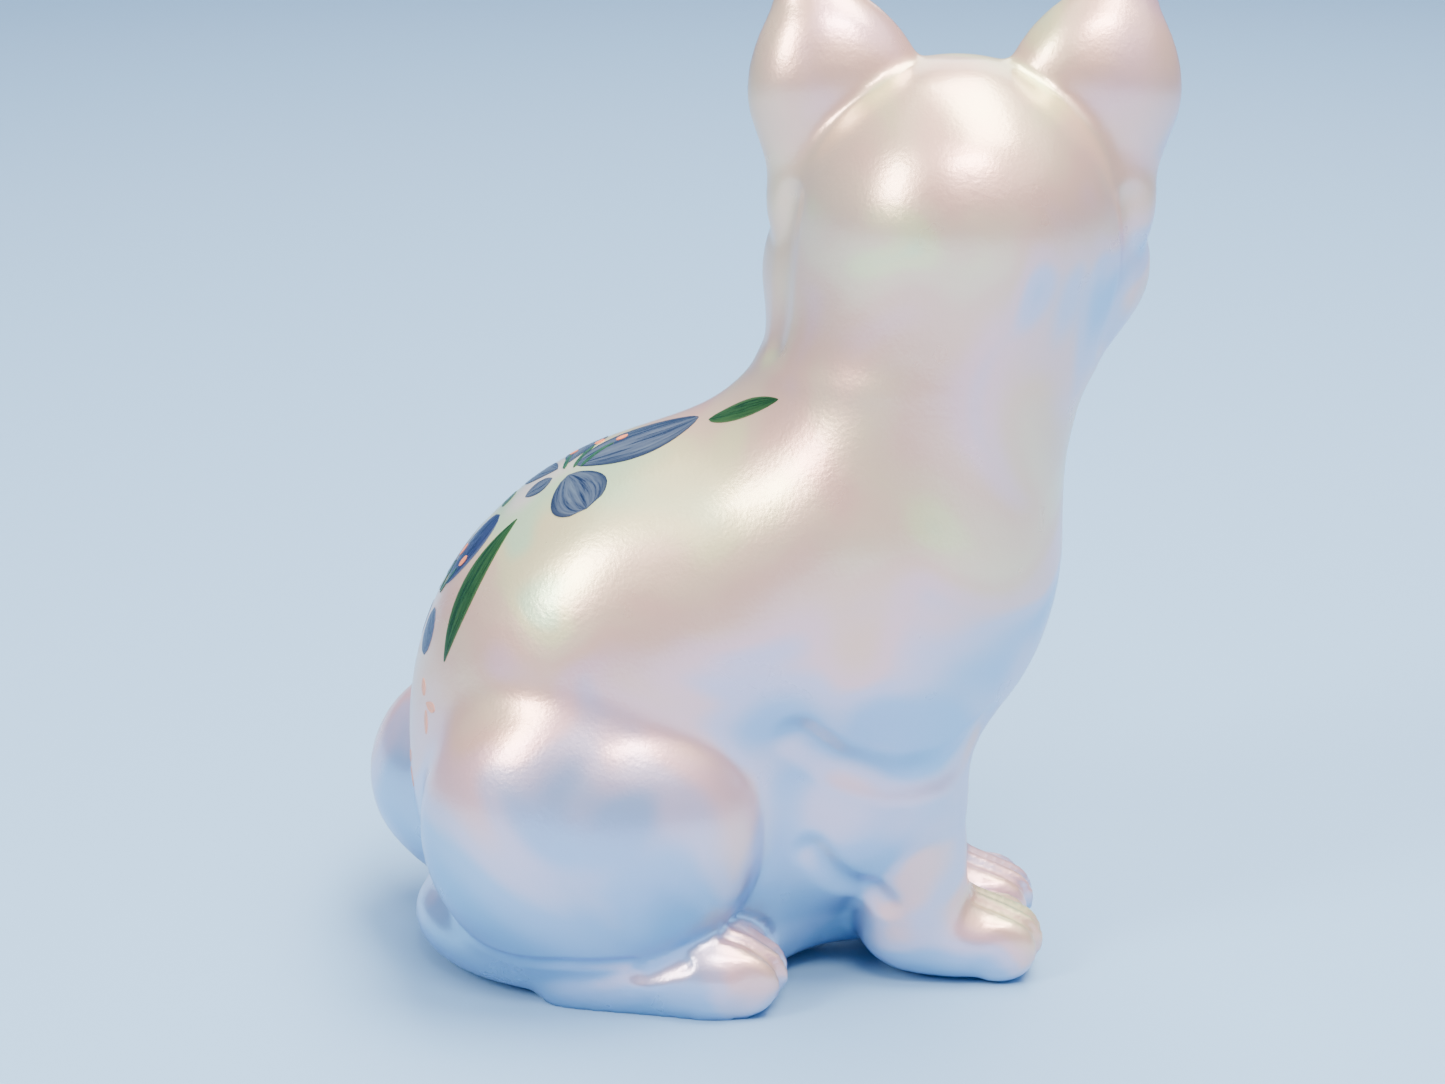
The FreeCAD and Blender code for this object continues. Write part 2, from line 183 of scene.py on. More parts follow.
def blob(at, radii, turn=(0, 0, 0)):
    deselectAll()
    bpy.ops.mesh.primitive_uv_sphere_add(segments=40, ring_count=24, radius=1, location=Vector(at) * mm,
                                         rotation=turn)
    made = bpy.context.object
    made.scale = Vector(radii) * mm
    bpy.ops.object.transform_apply(location=True, rotation=True, scale=True)
    return made


def copyNode(name):
    made = nodes[name].copy()
    made.data = nodes[name].data.copy()
    made.parent = None
    for key in list(made.keys()):
        del made[key]
    made.name = "copy_" + name
    bpy.context.collection.objects.link(made)
    pick(made)
    bpy.ops.object.mode_set(mode="EDIT")
    bpy.ops.mesh.select_all(action="SELECT")
    bpy.ops.mesh.remove_doubles(threshold=0.001 * mm)
    bpy.ops.object.mode_set(mode="OBJECT")
    return made


def selectFaces(obj, test):
    pick(obj)
    bpy.ops.object.mode_set(mode="EDIT")
    bpy.ops.mesh.select_mode(type="FACE")
    bpy.ops.mesh.select_all(action="DESELECT")
    bpy.ops.object.mode_set(mode="OBJECT")
    for side in obj.data.polygons:
        side.select = test(side.center, side.normal)
    bpy.ops.object.mode_set(mode="EDIT")


def outerSkin(name, isWithin, jointPull):
    made = copyNode(name)                        # only the outside of a hollow casting, closed again
    selectFaces(made, lambda at, normal: isWithin(at, normal) or abs(at.z - clay["neckJoint"]) < 0.01 * mm)
    bpy.ops.mesh.delete(type="FACE")
    bpy.ops.mesh.select_all(action="SELECT")
    bpy.ops.mesh.fill_holes(sides=0)
    bpy.ops.object.mode_set(mode="OBJECT")
    selectFaces(made, lambda at, normal: abs(at.z - clay["neckJoint"]) < 0.01 * mm)
    bpy.ops.mesh.extrude_region_move(TRANSFORM_OT_translate={"value": (0, 0, jointPull)})
    bpy.ops.object.mode_set(mode="OBJECT")
    return made


def torsoMiddle(z):
    share = min(1, max(0, z / clay["neckJoint"]))
    start, gain = clay["torsoMiddle"]
    return (start + gain * share * share * (3 - 2 * share)) * mm


def withinTorso(at, normal):
    if at.z < 0.01 * mm:
        return False
    if at.z < clay["floorBelow"] and normal.z > 0.99:
        return True
    return (at.x - torsoMiddle(at.z)) * normal.x + at.y * normal.y < 0


def withinHead(at, normal):
    return (at - Vector(clay["headMiddle"]) * mm).dot(normal) < 0


def faceBlobs():
    made = []
    for side in (-1, 1):
        for part in ("muzzlePads", "eyeballs"):
            at, radii = face[part]
            made.append(blob((face["middle"] + side * at[0], at[1], at[2]), radii))
    for part in ("chin", "bridge"):
        at, radii = face[part]
        made.append(blob((face["middle"] + at[0], at[1], at[2]), radii))
    return made


def muscleBlobs():
    made = []
    for at, radii, turn in muscles.values():
        for side in (-1, 1):
            made.append(blob((at[0], side * at[1], at[2]), radii, (side * turn[0], turn[1], side * turn[2])))
    for side in (-1, 1):
        at, radii = face["earRoot"]
        made.append(blob((face["earRootMiddle"] + side * at[0], at[1], at[2]), radii))
    return made


def pressAlong(figure, label, lines, reach, depth):
    spots = []
    for places in lines:
        for start, end in zip(places, places[1:]):
            steps = max(2, round((Vector(end) - Vector(start)).length / 0.25))
            for n in range(steps + 1):
                spots.append(figure.closest_point_on_mesh(Vector(start).lerp(Vector(end), n / steps) * mm)[1])
    tree = KDTree(len(spots))
    for n, spot in enumerate(spots):
        tree.insert(spot, n)
    tree.balance()
    group = figure.vertex_groups.new(name=label)
    for spot in figure.data.vertices:
        near, which, apart = tree.find(spot.co)
        if apart < reach * mm:
            group.add([spot.index], (1 - (apart / (reach * mm)) ** 2) ** 2, "REPLACE")
    useModifier(figure, "DISPLACE", strength=-depth * mm, mid_level=0, vertex_group=label)
    figure.vertex_groups.remove(figure.vertex_groups[label])


def pressFolds(figure):
    for name, (places, reach, depth) in folds.items():
        lines = [places]
        if name not in oneSided:
            lines.append([(x, -y, z) for x, y, z in places])
        pressAlong(figure, name, lines, reach, depth)


def pressToes(figure):
    lines = []
    for part, middle in toeCreases["across"].items():
        for side in (-1, 1):
            for shift in toeCreases["spread"]:
                lines.append([(x, side * middle + shift, z) for x, z in toeCreases[part]])
    pressAlong(figure, "toes", lines, toeCreases["reach"], toeCreases["depth"])


def toeBlobs():
    made = []
    for side in (-1, 1):
        for part in ("forepaw", "hindFoot"):
            at, radii = toes[part]
            for n, shift in enumerate(toes["spread"]):
                back = 0.9 if n in (0, 3) else 0
                made.append(blob((at[0] - back, side * at[1] + shift, at[2]), radii))
    return made


def bell(z, middle, reach):
    share = abs(z / mm - middle) / reach
    return 0.5 + 0.5 * math.cos(math.pi * share) if share < 1 else 0


def sideShare(at, label):
    if label != "flanks":
        return 1
    return min(1, max(0, (abs(at.y) / mm - 6) / 4))    # the flanks start 6 mm from the middle


def softened(obj, label, weight, turns):
    group = obj.vertex_groups.new(name=label)
    for spot in obj.data.vertices:
        amount = weight(spot.co)
        if amount > 0.02:
            group.add([spot.index], amount, "REPLACE")
    useModifier(obj, "SMOOTH", factor=0.5, iterations=turns, vertex_group=label)
    obj.vertex_groups.remove(obj.vertex_groups[label])


def slab(low, high):
    deselectAll()
    bpy.ops.mesh.primitive_cube_add(size=1, location=(Vector(low) + Vector(high)) / 2 * mm)
    made = bpy.context.object
    made.scale = (Vector(high) - Vector(low)) * mm
    bpy.ops.object.transform_apply(location=True, rotation=True, scale=True)
    return made


def hollowOut(figure):
    underside = slab((-100, -100, -20), (100, 100, 0))
    cut(figure, underside)
    throwAway(underside)
    inside = blob(*pourHole["inside"])
    cut(figure, inside)
    throwAway(inside)
    deselectAll()
    bpy.ops.mesh.primitive_cylinder_add(vertices=72, radius=pourHole["radius"] * mm,
                                        depth=pourHole["drill"] * mm, location=(pourHole["x"] * mm, 0, 0))
    drill = bpy.context.object
    bpy.ops.object.transform_apply(location=True, rotation=True, scale=True)
    cut(figure, drill)
    throwAway(drill)


def flattenBase(figure):
    pick(figure)
    bpy.ops.object.mode_set(mode="EDIT")
    bpy.ops.mesh.select_mode(type="VERT")
    bpy.ops.mesh.select_all(action="DESELECT")
    bpy.ops.object.mode_set(mode="OBJECT")
    for spot in figure.data.vertices:
        spot.select = spot.co.z < clay["footLevel"]
    bpy.ops.object.mode_set(mode="EDIT")
    bpy.ops.transform.resize(value=(1, 1, 0), center_override=(0, 0, 0))
    bpy.ops.object.mode_set(mode="OBJECT")


def joinedClay():
    blocks = [outerSkin("torso", withinTorso, 1 * mm), outerSkin("head", withinHead, -1 * mm)]
    for name in castings[2:]:
        small = copyNode(name)
        useModifier(small, "DISPLACE", strength=clay["swell"], mid_level=0)
        blocks.append(small)
    figure = joinUp(blocks + faceBlobs() + muscleBlobs() + toeBlobs())
    figure.name = "joined_clay"
    useModifier(figure, "REMESH", mode="VOXEL", voxel_size=clay["voxel"])
    for side in (-1, 1):
        at, radii = face["earHollow"]
        place = (face["earHollowMiddle"] + side * at[0], at[1], at[2])
        scoop = blob(place, radii, (0, side * face["earHollowTurn"], 0))
        cut(figure, scoop)
        throwAway(scoop)
    hollowOut(figure)
    useModifier(figure, "REMESH", mode="VOXEL", voxel_size=clay["voxel"])
    useModifier(figure, "SMOOTH", factor=0.5, iterations=clay["smoothTurns"])
    for label, (middle, reach, turns) in softSpots.items():
        softened(figure, label, lambda at: bell(at.z, middle, reach) * sideShare(at, label), turns)
    pressFolds(figure)
    pressToes(figure)
    flattenBase(figure)
    pick(figure)
    bpy.ops.object.shade_smooth()
    return figure


def takeOff(figure, name, isPart):
    selectFaces(figure, lambda at, normal: isPart(at))
    for first, second in ((bpy.ops.mesh.select_more, bpy.ops.mesh.select_less),
                          (bpy.ops.mesh.select_less, bpy.ops.mesh.select_more)):
        for n in range(clay["borderTurns"]):     # a clean border: no stray faces, no pinholes
            first()
        for n in range(clay["borderTurns"]):
            second()
    bpy.ops.mesh.separate(type="SELECTED")
    bpy.ops.object.mode_set(mode="OBJECT")
    piece = [obj for obj in bpy.context.selected_objects if obj != figure][0]
    piece.name = "glazed_" + name
    return piece


def closeUp(piece, name):
    heart = clay["headHeart"] if name == "head" or "ear" in name else clay["torsoHeart"]
    pick(piece)
    bpy.ops.object.mode_set(mode="EDIT")
    bpy.ops.mesh.select_mode(type="EDGE")
    bpy.ops.mesh.select_all(action="DESELECT")
    bpy.ops.mesh.select_non_manifold(extend=False, use_wire=False, use_boundary=True, use_multi_face=False,
                                     use_non_contiguous=False, use_verts=False)
    bpy.ops.mesh.extrude_region_move(TRANSFORM_OT_translate={"value": (0, 0, 0)})
    bpy.ops.transform.resize(value=(clay["wallReach"],) * 3, center_override=Vector(heart) * mm)
    bpy.ops.mesh.select_all(action="SELECT")
    bpy.ops.mesh.fill_holes(sides=0)
    bpy.ops.object.mode_set(mode="OBJECT")


def insideOf(tool):
    low = [min(corner[n] for corner in tool.bound_box) for n in range(3)]
    high = [max(corner[n] for corner in tool.bound_box) for n in range(3)]

    def test(at):
        if any(at[n] < low[n] or at[n] > high[n] for n in range(3)):
            return False
        hit, near, outward, side = tool.closest_point_on_mesh(at)
        return (at - near).dot(outward) < 0
    return test


def onToes(name):
    if "foreleg" not in name and "hind_foot" not in name:
        return lambda at: False
    side = 1 if "left" in name else -1
    (x, y, z), (long, wide, high) = toes["forepaw" if "foreleg" in name else "hindFoot"]
    reach = max(toes["spread"]) + wide + toes["room"]

    def test(at):
        if side * at.y < 0 or abs(at.x / mm - x) > long + toes["room"]:
            return False
        return abs(side * at.y / mm - y) < reach and at.z / mm < z + high + toes["room"]
    return test


def dressAs(piece, name):
    pick(piece)
    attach(piece, "root")
    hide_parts(name)


def borrowShading(piece, figure):
    useModifier(piece, "DATA_TRANSFER", object=figure, use_loop_data=True, data_types_loops={"CUSTOM_NORMAL"},
                loop_mapping="POLYINTERP_NEAREST", use_max_distance=True, max_distance=0.01 * mm)


def splitCastings(figure):
    whole = figure.copy()
    whole.data = figure.data.copy()
    whole.name = "whole_figure"
    bpy.context.collection.objects.link(whole)
    pieces = {}
    for name in castings[2:]:
        tool = copyNode(name)
        useModifier(tool, "DISPLACE", strength=clay["cutRoom"], mid_level=0)
        inTool, inToes = insideOf(tool), onToes(name)
        pieces[name] = takeOff(figure, name, lambda at: inTool(at) or inToes(at))
        throwAway(tool)
    pieces["head"] = takeOff(figure, "head", lambda at: at.z > clay["neckJoint"])
    pieces["torso"] = figure
    figure.name = "glazed_torso"
    for name, piece in pieces.items():
        closeUp(piece, name)
        borrowShading(piece, whole)
        dressAs(piece, name)
        print("casting", name, len(piece.data.polygons), "faces")
    return pieces, whole


figure = joinedClay()
print("clay joined:", len(figure.data.polygons), "faces")
pieces, whole = splitCastings(figure)
print("castings split:", len(pieces))


def nodeTree(name, kind="ShaderNodeTree"):
    return bpy.data.node_groups.new(name, kind)


def put(tree, kind, **settings):
    made = tree.nodes.new(kind)
    for key, value in settings.items():
        setattr(made, key, value)
    return made


def setRamp(ramp, stops):
    bar = ramp.color_ramp
    while len(bar.elements) > 1:
        bar.elements.remove(bar.elements[-1])
    bar.elements[0].position, bar.elements[0].color = stops[0][0], (*stops[0][1], 1)
    for place, colour in stops[1:]:
        bar.elements.new(place).color = (*colour, 1)


lustreAndPaintedLightBands = [                  # place on the ramp, colour; the blue end is reached low down and on faces turned to the table, which is painted reflection of the blue floor and painted shade; the pale yellow bands are reached on faces turned up, which is painted top light
    (0.06, (0.14, 0.32, 0.64)),
    (0.24, (0.28, 0.43, 0.76)),
    (0.34, (0.62, 0.52, 0.76)),
    (0.42, (0.95, 0.52, 0.54)),
    (0.52, (0.97, 0.54, 0.38)),
    (0.61, (0.98, 0.66, 0.42)),
    (0.69, (0.95, 0.86, 0.42)),
    (0.77, (0.66, 0.94, 0.52)),
    (0.86, (0.97, 0.92, 0.76)),
    (1.0, (0.97, 0.64, 0.70)),
]


def lustreAndPaintedLightGroup():
    group = nodeTree("lustre_tint_and_painted_light")            # slow drifts of the lustre's tint over the whole figure, with painted light in it: bluer low down and underneath (painted reflection of the blue floor and painted shade), paler on the tops (painted top light)
    group.interface.new_socket("Vector", in_out="INPUT", socket_type="NodeSocketVector")
    group.interface.new_socket("Facing", in_out="INPUT", socket_type="NodeSocketVector")
    group.interface.new_socket("Tint", in_out="OUTPUT", socket_type="NodeSocketColor")
    group.interface.new_socket("Haze", in_out="OUTPUT", socket_type="NodeSocketFloat")
    into, out = put(group, "NodeGroupInput"), put(group, "NodeGroupOutput")
    broad = put(group, "ShaderNodeTexNoise")
    broad.inputs["Scale"].default_value = 48
    broad.inputs["Detail"].default_value = 2
    broad.inputs["Distortion"].default_value = 0.5
    apart = put(group, "ShaderNodeSeparateXYZ")
    group.links.new(into.outputs["Facing"], apart.inputs["Vector"])
    # painted light: a face turned up moves up the ramp to the pale yellow bands, a face turned down moves
    # towards the blue ones
    lean = put(group, "ShaderNodeMath", operation="MULTIPLY_ADD")
    lean.inputs[1].default_value = 0.22
    group.links.new(apart.outputs["Z"], lean.inputs[0])
    driftAndPaintedLight = put(group, "ShaderNodeMath", operation="MULTIPLY_ADD")
    driftAndPaintedLight.inputs[1].default_value = 1.15
    high = put(group, "ShaderNodeSeparateXYZ")
    group.links.new(into.outputs["Vector"], high.inputs["Vector"])
    # painted reflection of the blue floor and painted shade: the lower the place, the further down the ramp
    # towards blue
    lower = put(group, "ShaderNodeMapRange", interpolation_type="SMOOTHSTEP")
    lower.inputs["From Max"].default_value = 46 * mm
    lower.inputs["To Min"].default_value = -0.34
    lower.inputs["To Max"].default_value = -0.08
    group.links.new(high.outputs["Z"], lower.inputs["Value"])
    group.links.new(lower.outputs["Result"], driftAndPaintedLight.inputs[2])
    group.links.new(broad.outputs["Fac"], driftAndPaintedLight.inputs[0])
    group.links.new(driftAndPaintedLight.outputs["Value"], lean.inputs[2])
    bands = put(group, "ShaderNodeValToRGB")
    bands.color_ramp.interpolation = "EASE"
    setRamp(bands, lustreAndPaintedLightBands)
    fine = put(group, "ShaderNodeTexNoise")
    fine.inputs["Scale"].default_value = 150
    fine.inputs["Detail"].default_value = 3
    group.links.new(into.outputs["Vector"], broad.inputs["Vector"])
    group.links.new(into.outputs["Vector"], fine.inputs["Vector"])
    group.links.new(lean.outputs["Value"], bands.inputs["Fac"])
    group.links.new(bands.outputs["Color"], out.inputs["Tint"])
    group.links.new(fine.outputs["Fac"], out.inputs["Haze"])
    return group


def grainGroup():
    group = nodeTree("orange_peel")              # the fine grain that breaks up the highlights
    group.interface.new_socket("Vector", in_out="INPUT", socket_type="NodeSocketVector")
    group.interface.new_socket("Depth", in_out="INPUT", socket_type="NodeSocketFloat")
    group.interface.new_socket("Normal", in_out="OUTPUT", socket_type="NodeSocketVector")
    into, out = put(group, "NodeGroupInput"), put(group, "NodeGroupOutput")
    tiny = put(group, "ShaderNodeTexNoise")
    tiny.inputs["Scale"].default_value = 2600
    tiny.inputs["Detail"].default_value = 2
    slow = put(group, "ShaderNodeTexNoise")
    slow.inputs["Scale"].default_value = 420
    slow.inputs["Detail"].default_value = 1
    lumps = put(group, "ShaderNodeBump")
    lumps.inputs["Distance"].default_value = 0.05 * mm
    lumps.inputs["Strength"].default_value = 0.5
    grain = put(group, "ShaderNodeBump")
    grain.inputs["Strength"].default_value = 0.6
    for noise in (tiny, slow):
        group.links.new(into.outputs["Vector"], noise.inputs["Vector"])
    group.links.new(slow.outputs["Fac"], lumps.inputs["Height"])
    group.links.new(lumps.outputs["Normal"], grain.inputs["Normal"])
    group.links.new(tiny.outputs["Fac"], grain.inputs["Height"])
    group.links.new(into.outputs["Depth"], grain.inputs["Distance"])
    group.links.new(grain.outputs["Normal"], out.inputs["Normal"])
    return group


lustreAndPaintedLight, grain = lustreAndPaintedLightGroup(), grainGroup()

pearl = {
    "metal": 0.50,
    "roughness": 0.29,
    "filmNm": 480,
    "filmIor": 2.1,
    "coat": 0.35,
    "coatRoughness": 0.05,
    "grainDepth": 0.030 * mm,
    "tint": 0.92,
    "grazing": (0.88, 0.84, 0.94),
    "facing": (1.0, 0.92, 0.86),
}


def pearlMaterial():
    made = bpy.data.materials.new("pearl_glaze")
    made.use_nodes = True
    tree = made.node_tree
    shader = tree.nodes["Principled BSDF"]
    place = put(tree, "ShaderNodeTexCoord")
    driftAndPaintedLight = put(tree, "ShaderNodeGroup", node_tree=lustreAndPaintedLight)
    peel = put(tree, "ShaderNodeGroup", node_tree=grain)
    peel.inputs["Depth"].default_value = pearl["grainDepth"]
    tree.links.new(place.outputs["Object"], driftAndPaintedLight.inputs["Vector"])
    tree.links.new(place.outputs["Normal"], driftAndPaintedLight.inputs["Facing"])
    tree.links.new(place.outputs["Object"], peel.inputs["Vector"])
    edge = put(tree, "ShaderNodeLayerWeight")
    edge.inputs["Blend"].default_value = 0.45
    sheen = put(tree, "ShaderNodeMix", data_type="RGBA")
    sheen.inputs["A"].default_value = (*pearl["facing"], 1)
    sheen.inputs["B"].default_value = (*pearl["grazing"], 1)
    tree.links.new(edge.outputs["Facing"], sheen.inputs["Factor"])
    tint = put(tree, "ShaderNodeMix", data_type="RGBA", blend_type="MULTIPLY")
    tint.inputs["Factor"].default_value = pearl["tint"]
    tree.links.new(sheen.outputs["Result"], tint.inputs["A"])
    tree.links.new(driftAndPaintedLight.outputs["Tint"], tint.inputs["B"])
    # the base colour carries the painted light of the tint group: bluer low down and underneath, paler on the
    # tops
    tree.links.new(tint.outputs["Result"], shader.inputs["Base Color"])
    height = put(tree, "ShaderNodeSeparateXYZ")
    tree.links.new(place.outputs["Object"], height.inputs["Vector"])
    glazed = put(tree, "ShaderNodeMapRange")
    glazed.inputs["From Min"].default_value = 0.05 * mm
    glazed.inputs["From Max"].default_value = 0.5 * mm
    tree.links.new(height.outputs["Z"], glazed.inputs["Value"])
    rough = put(tree, "ShaderNodeMix", data_type="FLOAT")
    rough.inputs["A"].default_value = 0.8
    tree.links.new(glazed.outputs["Result"], rough.inputs["Factor"])
    tone = put(tree, "ShaderNodeMapRange")
    tone.inputs["To Min"].default_value = pearl["roughness"] - 0.05
    tone.inputs["To Max"].default_value = pearl["roughness"] + 0.05
    tree.links.new(driftAndPaintedLight.outputs["Haze"], tone.inputs["Value"])
    tree.links.new(tone.outputs["Result"], rough.inputs["B"])
    tree.links.new(rough.outputs["Result"], shader.inputs["Roughness"])
    for socket, share in (("Metallic", pearl["metal"]), ("Coat Weight", pearl["coat"])):
        by = put(tree, "ShaderNodeMath", operation="MULTIPLY")
        by.inputs[1].default_value = share
        tree.links.new(glazed.outputs["Result"], by.inputs[0])
        tree.links.new(by.outputs["Value"], shader.inputs[socket])
    tree.links.new(peel.outputs["Normal"], shader.inputs["Normal"])
    shader.inputs["IOR"].default_value = 1.52
    shader.inputs["Thin Film Thickness"].default_value = pearl["filmNm"]
    shader.inputs["Thin Film IOR"].default_value = pearl["filmIor"]
    shader.inputs["Coat Roughness"].default_value = pearl["coatRoughness"]
    return made


pearlGlaze = pearlMaterial()
for piece in pieces.values():
    piece.data.materials.clear()
    piece.data.materials.append(pearlGlaze)
print("glaze laid on")

brush = {
    "cell": 0.42 * mm,           # side of a stroke's quads
    "point": 0.06 * mm,          # half width of a stroke at its two ends
    "thick": 0.10 * mm,
    "layerThick": 0.08 * mm,     # each layer of enamel adds this
    "lift": 0.6 * mm,            # strokes start this far over the glaze and are then laid on it
    "sharpAngle": 40,
}

# root, tip, width, widest place, fullness, bow and layer; places, width and bow in mm
strokes = {
    "back_petal_front": ((-13.4, -2.5, 49.5), (-1.9, -2.3, 54.0), 6.6, 0.50, 0.70, 0.0, 0),
    "back_petal_right": ((-14.0, -3.7, 49.0), (-12.0, -9.0, 47.2), 6.0, 0.62, 0.45, 0.0, 0),
    "back_petal_rear": ((-15.5, -2.6, 48.4), (-18.1, -2.7, 46.6), 2.4, 0.50, 0.70, 0.0, 0),
    "back_petal_far": ((-15.1, -1.3, 48.9), (-18.1, 3.4, 46.9), 3.4, 0.60, 0.60, 0.0, 0),
    "back_petal_left": ((-14.0, -1.3, 49.3), (-11.2, 4.8, 50.2), 4.2, 0.62, 0.60, 0.0, 0),
    "back_stamen_1": ((-14.4, -2.2, 49.1), (-13.8, 1.0, 49.4), 0.5, 0.50, 0.30, 0.0, 1),
    "back_stamen_2": ((-13.5, -3.0, 49.5), (-11.7, 0.2, 50.7), 0.5, 0.50, 0.30, 0.1, 1),
    "back_stamen_3": ((-12.8, -3.5, 49.7), (-9.8, -1.2, 51.4), 0.5, 0.50, 0.30, 0.2, 1),
    "back_anther_1": ((-13.7, 1.4, 49.5), (-13.5, 2.5, 49.6), 0.9, 0.50, 0.50, 0.0, 1),
    "back_anther_2": ((-11.5, 0.6, 50.8), (-10.9, 1.6, 51.1), 0.9, 0.50, 0.50, 0.0, 1),
    "back_anther_3": ((-9.5, -0.9, 51.5), (-8.5, -0.3, 52.0), 0.9, 0.50, 0.50, 0.0, 1),
    "rump_petal_upper_right": ((-25.7, -2.3, 37.9), (-20.4, -2.0, 44.7), 4.6, 0.58, 0.50, 0.0, 0),
    "rump_petal_upper_left": ((-25.8, 0.1, 38.2), (-22.0, 5.6, 42.6), 4.2, 0.58, 0.50, 0.0, 0),
    "rump_petal_left": ((-26.5, 1.4, 36.6), (-25.0, 7.6, 36.0), 3.6, 0.60, 0.50, 0.0, 0),
    "rump_petal_lower_left": ((-27.2, 0.3, 35.4), (-27.5, 3.4, 31.0), 3.4, 0.58, 0.50, 0.0, 0),
    "rump_petal_lower_right": ((-27.0, -2.4, 35.9), (-27.5, -4.3, 31.6), 3.2, 0.50, 0.50, 0.0, 0),
    "rump_stamen_1": ((-26.5, -1.7, 37.0), (-24.6, -2.6, 39.6), 0.5, 0.50, 0.30, 0.0, 1),
    "rump_stamen_2": ((-26.5, -1.1, 37.0), (-24.7, -0.6, 39.8), 0.5, 0.50, 0.30, 0.0, 1),
    "rump_anther_1": ((-24.3, -2.8, 39.9), (-23.5, -3.1, 40.9), 0.9, 0.50, 0.50, 0.0, 1),
    "rump_anther_2": ((-24.4, -0.5, 40.2), (-23.6, -0.4, 41.3), 0.9, 0.50, 0.50, 0.0, 1),
    "nape_leaf": ((-0.8, -3.6, 54.2), (5.3, -8.2, 57.1), 2.2, 0.40, 0.80, 0.2, 0),
    "bud_leaf": ((-20.3, -0.5, 45.0), (-19.1, 1.7, 45.8), 1.6, 0.45, 0.80, 0.0, 0),
    "long_leaf": ((-18.6, -5.1, 45.3), (-25.5, -8.2, 32.1), 2.7, 0.50, 0.90, -0.4, 0),
    "upper_sprig_bud": ((-27.7, -5.4, 29.7), (-27.6, -6.2, 28.2), 0.8, 0.50, 0.60, 0.0, 0),
    "upper_sprig_side": ((-27.4, -6.9, 27.7), (-26.8, -8.6, 27.5), 1.0, 0.60, 0.60, 0.0, 0),
    "upper_sprig_stem": ((-27.5, -6.9, 27.0), (-27.6, -7.4, 24.8), 0.6, 0.50, 0.60, 0.0, 0),
    "lower_sprig_bud": ((-29.4, -2.9, 21.6), (-29.5, -2.2, 20.2), 0.8, 0.50, 0.60, 0.0, 0),
    "lower_sprig_stem": ((-29.5, -2.3, 19.6), (-29.5, -3.2, 17.8), 0.6, 0.50, 0.60, 0.0, 0),
    "right_iris": ((24.9, 14.2, 74.2), (29.7, 12.6, 75.6), 3.4, 0.50, 0.60, 0.0, 0),
    "left_iris": ((18.1, 14.2, 74.2), (13.3, 12.6, 75.6), 3.4, 0.50, 0.60, 0.0, 0),
    "right_pupil": ((27.3, 13.6, 73.5), (27.3, 13.4, 76.2), 1.3, 0.50, 0.80, 0.0, 1),
    "left_pupil": ((15.7, 13.6, 73.5), (15.7, 13.4, 76.2), 1.3, 0.50, 0.80, 0.0, 1),
    "nose": ((21.5, 19.0, 69.4), (21.5, 19.6, 67.6), 2.4, 0.35, 0.50, 0.0, 0),
}


def brushStroke(name, root, tip, width, widest, fullness, bow, layer):
    root, tip = Vector(root) * mm, Vector(tip) * mm
    width, bow = width * mm, bow * mm
    length = (tip - root).length
    columns = max(10, round(length / brush["cell"]))
    rows = max(6, round(width / brush["cell"]))
    deselectAll()
    bpy.ops.mesh.primitive_grid_add(x_subdivisions=columns, y_subdivisions=rows, size=1)
    made = bpy.context.object
    made.name = "enamel_" + name
    bpy.ops.object.mode_set(mode="EDIT")
    bpy.ops.mesh.select_mode(type="VERT")
    for n in range(columns + 1):
        share = n / columns
        swell = math.sin(math.pi * share ** (math.log(0.5) / math.log(widest))) if 0 < n < columns else 0
        half = brush["point"] + (width / 2 - brush["point"]) * max(0, swell) ** fullness
        bpy.ops.mesh.select_all(action="DESELECT")
        bpy.ops.object.mode_set(mode="OBJECT")
        for spot in made.data.vertices:
            spot.select = abs(spot.co.x + 0.5 - share) < 0.2 / columns and abs(spot.co.y) <= 0.5001
        bpy.ops.object.mode_set(mode="EDIT")
        bpy.ops.transform.resize(value=(1, 2 * half, 1), center_override=(0, 0, 0))
        bpy.ops.transform.translate(value=(0, bow * math.sin(math.pi * share), 0))
    bpy.ops.mesh.select_all(action="SELECT")
    bpy.ops.transform.resize(value=(length, 1, 1), center_override=(0, 0, 0))
    bpy.ops.object.mode_set(mode="OBJECT")
    middle = (root + tip) / 2
    hit, near, outward, side = whole.closest_point_on_mesh(middle)
    along = (tip - root).normalized()
    across = outward.cross(along).normalized()
    outward = along.cross(across)
    made.matrix_world = Matrix((along, across, outward)).transposed().to_4x4()
    made.location = middle + outward * brush["lift"]
    bpy.ops.object.transform_apply(location=True, rotation=True, scale=True)
    useModifier(made, "SHRINKWRAP", target=whole, wrap_method="NEAREST_SURFACEPOINT", wrap_mode="ON_SURFACE")
    useModifier(made, "SOLIDIFY", thickness=brush["thick"] + brush["layerThick"] * layer, offset=0)
    pick(made)
    bpy.ops.object.shade_smooth_by_angle(angle=math.radians(brush["sharpAngle"]))
    return made


